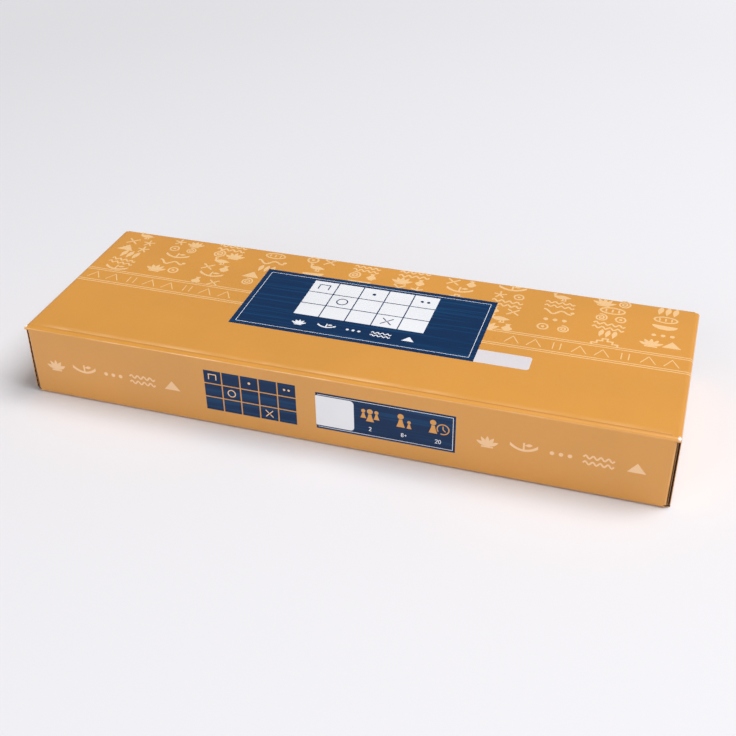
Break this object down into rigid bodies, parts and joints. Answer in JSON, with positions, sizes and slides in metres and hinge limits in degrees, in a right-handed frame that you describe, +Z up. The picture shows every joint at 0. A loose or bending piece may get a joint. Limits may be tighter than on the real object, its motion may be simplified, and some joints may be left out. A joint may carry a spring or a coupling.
{
  "type": "board game box",
  "caption": "Long flat tuck-end carton of printed fluted board, with hinged end closures, holding a wooden senet case with a drawer of playing pieces and throwing sticks.",
  "frame": {"origin": "centre of the carton's footprint, on the surface it stands on", "axes": "+X along the carton's length, to its right end; +Y to its back; +Z up"},
  "size_m": [0.368, 0.125, 0.045],
  "materials": {
    "printed_board": "satin film-laminated print on thin corrugated board, brown kraft inside",
    "case_wood": "oiled",
    "deck_wood": "oiled",
    "dark_piece": "satin",
    "pale_piece": "satin",
    "stick_wood": "satin",
    "paper": "matte"
  },
  "bodies": {
    "carton": {"back_panel": "printed_board", "bottom_panel": "printed_board", "case_back_wall": "case_wood", "case_base": "case_wood", "case_deck": "deck_wood", "case_end_wall": "case_wood", "case_front_wall": "case_wood", "front_panel": "printed_board", "glue_flap": "printed_board", "rules_leaflet": "paper", "top_panel": "printed_board"},
    "drawer": {"cone_1": "dark_piece", "cone_2": "dark_piece", "cone_3": "dark_piece", "cone_4": "dark_piece", "cone_5": "dark_piece", "drawer_back_side": "case_wood", "drawer_end": "case_wood", "drawer_floor": "case_wood", "drawer_front": "case_wood", "drawer_front_side": "case_wood", "spool_1": "pale_piece", "spool_2": "pale_piece", "spool_3": "pale_piece", "spool_4": "pale_piece", "spool_5": "pale_piece", "throwing_stick_1": "stick_wood", "throwing_stick_2": "stick_wood", "throwing_stick_3": "stick_wood", "throwing_stick_4": "stick_wood"},
    "left_back_dust_flap": {"left_back_dust_flap": "printed_board"},
    "left_closure": {"left_closure": "printed_board"},
    "left_front_dust_flap": {"left_front_dust_flap": "printed_board"},
    "left_tuck_flap": {"left_tuck_flap": "printed_board"},
    "right_back_dust_flap": {"right_back_dust_flap": "printed_board"},
    "right_closure": {"right_closure": "printed_board"},
    "right_front_dust_flap": {"right_front_dust_flap": "printed_board"},
    "right_tuck_flap": {"right_tuck_flap": "printed_board"}
  },
  "joints": [
    {"name": "right_closure_hinge", "type": "hinge", "parent": "carton", "child": "right_closure", "pos_m": [0.18312, 0, 0.04412], "axis": [0, -1, 0], "range_deg": [0, 175]},
    {"name": "right_tuck_crease", "type": "hinge", "parent": "right_closure", "child": "right_tuck_flap", "pos_m": [0.18315, 0, 0.00237], "axis": [0, -1, 0], "range_deg": [0, 35]},
    {"name": "right_front_dust_crease", "type": "hinge", "parent": "carton", "child": "right_front_dust_flap", "pos_m": [0.18146, -0.06186, 0.0225], "axis": [0, 0, -1], "range_deg": [0, 90]},
    {"name": "right_back_dust_crease", "type": "hinge", "parent": "carton", "child": "right_back_dust_flap", "pos_m": [0.18146, 0.06186, 0.0225], "axis": [0, 0, 1], "range_deg": [0, 90]},
    {"name": "left_closure_hinge", "type": "hinge", "parent": "carton", "child": "left_closure", "pos_m": [-0.18312, 0, 0.04412], "axis": [0, 1, 0], "range_deg": [0, 175]},
    {"name": "left_tuck_crease", "type": "hinge", "parent": "left_closure", "child": "left_tuck_flap", "pos_m": [-0.18315, 0, 0.00237], "axis": [0, 1, 0], "range_deg": [0, 35]},
    {"name": "left_front_dust_crease", "type": "hinge", "parent": "carton", "child": "left_front_dust_flap", "pos_m": [-0.18146, -0.06186, 0.0225], "axis": [0, 0, 1], "range_deg": [0, 90]},
    {"name": "left_back_dust_crease", "type": "hinge", "parent": "carton", "child": "left_back_dust_flap", "pos_m": [-0.18146, 0.06186, 0.0225], "axis": [0, 0, -1], "range_deg": [0, 90]},
    {"name": "drawer_slide", "type": "slide", "parent": "carton", "child": "drawer", "axis": [1, 0, 0], "range_m": [0, 0.012]}
  ],
  "couplings": [
    {"joint": "right_tuck_crease", "follows": "right_closure_hinge", "ratio": 0.2},
    {"joint": "right_front_dust_crease", "follows": "right_closure_hinge", "ratio": 0.51429},
    {"joint": "right_back_dust_crease", "follows": "right_closure_hinge", "ratio": 0.51429},
    {"joint": "left_tuck_crease", "follows": "left_closure_hinge", "ratio": 0.2},
    {"joint": "left_front_dust_crease", "follows": "left_closure_hinge", "ratio": 0.51429},
    {"joint": "left_back_dust_crease", "follows": "left_closure_hinge", "ratio": 0.51429}
  ]
}
